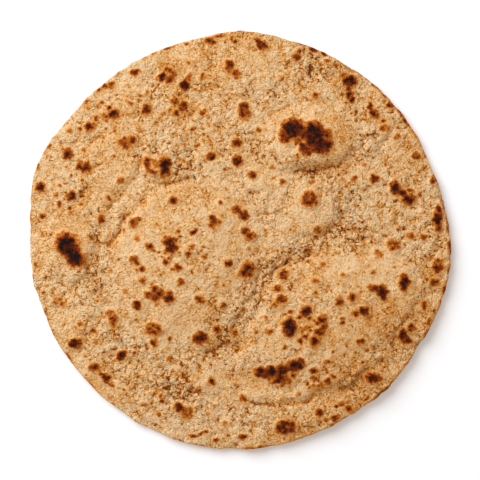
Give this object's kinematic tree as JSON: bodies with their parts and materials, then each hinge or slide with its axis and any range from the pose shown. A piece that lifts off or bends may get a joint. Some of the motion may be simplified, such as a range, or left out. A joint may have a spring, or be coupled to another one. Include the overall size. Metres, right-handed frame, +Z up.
{
  "type": "chapati flatbread",
  "caption": "Thin round wheat flatbread with low puffs, a curled thin rim and scattered char marks, lying flat.",
  "frame": {"origin": "middle of the bread's footprint, on the surface that it lies on", "axes": "+Z up through the top crust; +X to the right and +Y away from the viewer when the bread is seen from above with its largest puff at the lower right"},
  "size_m": [0.1792, 0.1784, 0.01],
  "materials": {
    "crust": "dry matte baked wheat crust, golden tan with pale floury puffs and brown to black char marks"
  },
  "bodies": {
    "root": {"chapati": "crust"}
  },
  "joints": []
}
